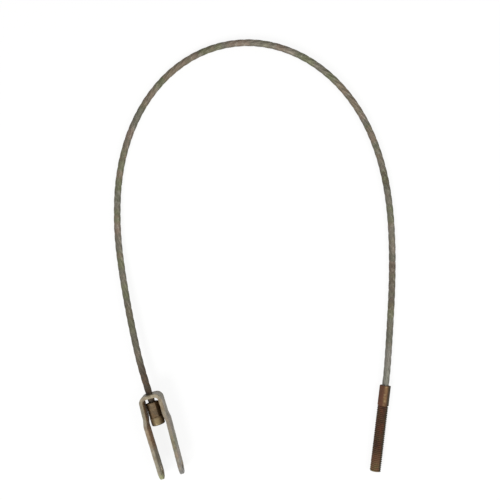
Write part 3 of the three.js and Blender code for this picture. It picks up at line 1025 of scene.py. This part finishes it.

# %% [markdown]
# ## The clevis's finish
# Zinc plate over pressed steel, mostly a warm dull grey. It is rubbed pale along the
# strap's edges, there is rust inside one leg and brown dirt with painted shade inside the
# web, an olive patch on the other leg, and the two tips differ in colour. The web's top
# edge has a painted highlight on its inner side and painted shade on its outer face above
# the rope's hole. Each of those is a place on the piece, and `near` marks it. The inside of
# the U is darker in patches as well, grime with painted shade.

# %% Plated strap
material, r, place, edge, inner = start_finish("plated_strap", "edge", "inner")
base, speck, rough = zinced(r, place, 7, (121, 113, 100), (106, 103, 90))
# darker patches inside the U: grime and painted shade
grime_and_inner_shade = r.times(inner, r.between(r.noise(place, 6, 3, 0.6, 2.5), 0.1, 0.5))
base = r.cover(base, (88, 80, 58), grime_and_inner_shade, 0.12)
rusty_leg = near_place(r, place, [-6, -30, 9], 13)
base = r.cover(base, (136, 94, 54), r.times(rusty_leg, inner), 0.6)
# brown in the pocket round the ferrule: dirt and painted shade
pocket_dirt_and_shade = near_place(r, place, [0, -11, 5], 17)
base = r.cover(base, (106, 78, 42), r.times(pocket_dirt_and_shade, inner), 0.95)
STRAP_PATCHES_AND_PAINTED_LIGHT = [
    ([-7.2, -30, 16], 7, 0.35, (122, 96, 66)),
    ([8.8, -25, 14], 7, 0.6, (116, 96, 86)),
    ([9.6, -36, 12], 8.5, 0.7, (96, 102, 78)),
    ([9.2, -47, 12], 5, 0.5, (130, 104, 88)),
    ([-7.2, -60.5, 12], 5.5, 0.8, (138, 141, 104)),
    ([8, -58, 12], 9, 0.75, (110, 110, 108)),
    # pale tan on the web's top edge, inner side: painted highlight
    ([2.6, -2.2, 16], 4.5, 0.6, (150, 138, 116)),
    ([6.4, -9, 16], 5.5, 0.5, (130, 114, 88)),
    ([8, -27, 16], 9, 0.7, (98, 93, 82)),
    ([-7.6, -46, 12], 11, 0.45, (136, 129, 112)),
    # dark on the web's outer face above the rope's hole: painted shade
    ([-0.8, 0.3, 13.5], 4.5, 0.7, (78, 70, 48)),
    # pale tan on the web's top edge, inner side: painted highlight
    ([-3.4, -2.4, 16], 3.6, 0.6, (150, 138, 116)),
]
for spot, reach, share, colour in STRAP_PATCHES_AND_PAINTED_LIGHT:
    there = near_place(r, place, spot, reach)
    base = r.cover(base, colour, there, share)
colour, spread, crust = rusted(r, place, 5, 0.4, 12, (112, 86, 56), (86, 72, 52))
rusty = r.times(spread, 0.5)
base = r.mix(rusty, base, colour)
rubbed = r.times(edge, r.between(r.noise(place, 2.2, 3, 0.6, 7), 0.35, 0.6))
base = r.cover(base, (152, 143, 122), rubbed, 0.35)
metal = r.times(r.maths("MULTIPLY_ADD", rusty, -0.4, 0.4), r.maths("SUBTRACT", 1, inner))
rough = r.maths("MULTIPLY_ADD", inner, 0.3, r.maths("MULTIPLY_ADD", rubbed, -0.1, rough))
height = r.maths("ADD", speck, crust)
dress(clevis_piece, end_finish(material, r, base, rough, metal, height, 0.09, 0.25))

# %% [markdown]
# ## The ferrule's finish
# Brown all over, and a dull tan along the flat that faces up and round the foot, strongest
# on the foot's top: partly wear and partly painted light from above. The sides stay nearly black.

# %% Pressed ferrule
material, r, place, worn, along_ferrule = start_finish("browned_ferrule", "worn", "along")
colour, spread, crust = rusted(r, place, 4, 0.8, 2, (98, 74, 40), (68, 53, 30))
base = r.mix(spread, paint(76, 60, 36), colour)
rubbed = r.between(r.noise(place, 3.5, 4, 0.6, 4), 0.28, 0.62)
# tan on the flat that faces up: wear and painted highlight from above
flat = r.times(worn, rubbed)
base = r.cover(base, (98, 83, 60), flat, 0.85)
# tan round the foot, strongest on top: wear and painted highlight
foot = r.times(r.between(along_ferrule, 10.5, 13), r.maths("MULTIPLY_ADD", worn, 0.8, 0.2))
base = r.cover(base, (128, 112, 78), foot, 0.65)
rim = r.between(along_ferrule, 16, 16.8)
base = r.cover(base, (56, 52, 32), rim, 0.75)
metal = r.maths("MULTIPLY_ADD", flat, 0.3, 0.15)
rough = r.maths("MULTIPLY_ADD", flat, -0.2, 0.68)
dress(ferrule_piece, end_finish(material, r, base, rough, metal, crust, 0.1))

# %% [markdown]
# ## The stud's finish
# The thread is rust from end to end, dark red-brown, with painted shade in the roots that
# leaves the crests a little lighter, and the last turns gone orange and yellow-green. The
# socket's upper flat still shows gold-tan plating with a painted highlight laid over it,
# and a few faint pale knocks in it that are partly painted glints; its left side is rust
# again. The whole fitting's right side gets painted shade, dull and olive.

# %% Rusted stud
SHADED_SIDE = (1.1 * MM, 2.6 * MM)
KNOCKS_AND_GLINTS = [(1, 0.1, 0.8, 0.3), (6.4, -0.3, 0.9, 0.4), (7.8, -0.7, 0.7, 0.3), (11.4, 0.2, 1.1, 0.3)]
material, r, place, along_stud, crest, worn = start_finish(
    "rusted_stud", "along", "crest", "worn"
)
colour, spread, crust = rusted(r, place, 5, 0.75, 6, (90, 55, 34), (66, 42, 28))
base = r.mix(spread, paint(68, 50, 34), colour)
mossy = stained(r, place, 7, 0.45, 0.07, 14)
base = r.cover(base, (66, 54, 32), mossy, 0.45)
low_end = r.between(along_stud, 44, 60)
base = r.cover(base, (112, 80, 58), low_end, 0.7)
patchy = r.between(r.noise(place, 3, 3, 0.6, 3), 0.38, 0.6)
last = r.times(r.between(along_stud, 53, 61), patchy)
base = r.cover(base, (92, 84, 50), last, 0.8)
on_shank = r.between(along_stud, 15.4, 14.6)
base = r.cover(base, (92, 58, 42), on_shank, 0.5)
# gold-tan on the socket's upper flat: plating and painted highlight
plating_and_highlight = r.times(r.times(worn, on_shank), r.between(r.noise(place, 3.2, 4, 0.6, 5), 0.3, 0.5))
base = r.cover(base, (112, 88, 58), plating_and_highlight, 0.85)
mouth_place = to_frame(STUD_MOUTH).tolist()
from_mouth = r.add("VectorMath", {0: place, 1: mouth_place}, operation="SUBTRACT")
to_the_right = (math.cos(STUD_TURN), math.sin(STUD_TURN), 0)
offset = r.add("VectorMath", {0: from_mouth, 1: to_the_right}, "Value", operation="DOT_PRODUCT")
# dark olive on the stud's right side: painted shade
shaded_side = r.between(offset, *SHADED_SIDE)
base = r.cover(base, (48, 43, 28), shaded_side, 0.9)
shine = r.times(plating_and_highlight, r.maths("SUBTRACT", 1, shaded_side))
# pale knocks on the upper flat: knock marks and painted glints
for down_axis, aside, reach, share in KNOCKS_AND_GLINTS:
    knock_and_glint = along_axis(STUD_MOUTH, STUD_TURN, -down_axis) + np.array([aside, 0, SHANK_FLATS / 2])
    there = near_place(r, place, knock_and_glint, reach)
    base = r.cover(base, (156, 134, 96), there, share)
# darker thread roots: painted shade
root = r.times(r.between(crest, 0.6, 0), r.maths("SUBTRACT", 1, on_shank))
base = r.cover(base, (46, 31, 22), root, 0.35)
metal = r.times(shine, 0.45)
rough = r.maths("MULTIPLY_ADD", shine, -0.3, 0.82)
dress(stud_piece, end_finish(material, r, base, rough, metal, crust, 0.12, 0.22))

# %% [markdown]
# ## Floor and light
# A white floor under plain soft light. The camera is shown a floor that is almost only
# glowing white, with just enough of the real shading mixed in near the cable to keep its
# shadow; far out it is wholly white, so that no horizon shows. Light that bounces between
# floor and cable still meets an ordinary matt floor. The key light stands on the picture's
# left, where the photograph's does.

# %% Floor
FLOOR_HALF = 3.0
GLOW_SHARE = 0.87
NEAR_FLOOR = 0.38
FAR_FLOOR = 1.0
floor_mesh = bpy.data.meshes.new("floor")
corners = [(x * FLOOR_HALF, y * FLOOR_HALF, 0) for x, y in ((-1, -1), (1, -1), (1, 1), (-1, 1))]
floor_mesh.from_pydata(corners, [], [(0, 1, 2, 3)])
floor = add_object("floor", floor_mesh)
white, r, place = start_finish("white_floor")


def seen_ray(r):
    """1 for rays from the camera, mirrored rays and rays through glass."""
    path = r.tree.nodes.new("ShaderNodeLightPath")
    seen = r.maths("MAXIMUM", path.outputs["Is Camera Ray"], path.outputs["Is Glossy Ray"])
    return r.maths("MAXIMUM", seen, path.outputs["Is Transmission Ray"])


matt = r.add("BsdfDiffuse", {"Color": (0.86, 0.86, 0.85, 1)})
glow = r.add("Emission", {"Color": (1, 1, 1, 1), "Strength": 1.0})
distance = r.add("VectorMath", {0: place}, "Value", operation="LENGTH")
far_out = r.between(distance, NEAR_FLOOR, FAR_FLOOR)
white_share = r.maths("MULTIPLY_ADD", far_out, 1 - GLOW_SHARE, GLOW_SHARE)
shown = r.add("MixShader", {0: r.times(seen_ray(r), white_share), 1: matt, 2: glow})
r.add("OutputMaterial", {"Surface": shown})
dress(floor, white)

# %% World and lamps
WORLD_LIGHT = 0.52
CABLE_MIDDLE = (0.02, 0.12, 0.0)
world = bpy.data.worlds.new("studio")
bpy.context.scene.world = world
r = empty_recipe(world)
level = r.maths("MULTIPLY_ADD", seen_ray(r), 1 - WORLD_LIGHT, WORLD_LIGHT)
sky = r.add("Background", {"Color": (1, 1, 1, 1), "Strength": level})
r.add("OutputWorld", {"Surface": sky})


def soft_lamp(name, place, watts, size):
    """A square area lamp aimed at the middle of the cable."""
    lamp = bpy.data.lights.new(name, "AREA")
    lamp.energy, lamp.size = watts, size
    holder = add_object(name, lamp)
    holder.location = place
    aim = np.subtract(CABLE_MIDDLE, place)
    flat = math.hypot(aim[0], aim[1])
    holder.rotation_euler = (math.atan2(flat, -aim[2]), 0, math.atan2(-aim[0], aim[1]))


soft_lamp("key", (-0.75, -0.62, 0.95), 16.0, 0.6)
soft_lamp("fill", (0.8, -0.2, 1.0), 8.0, 0.9)
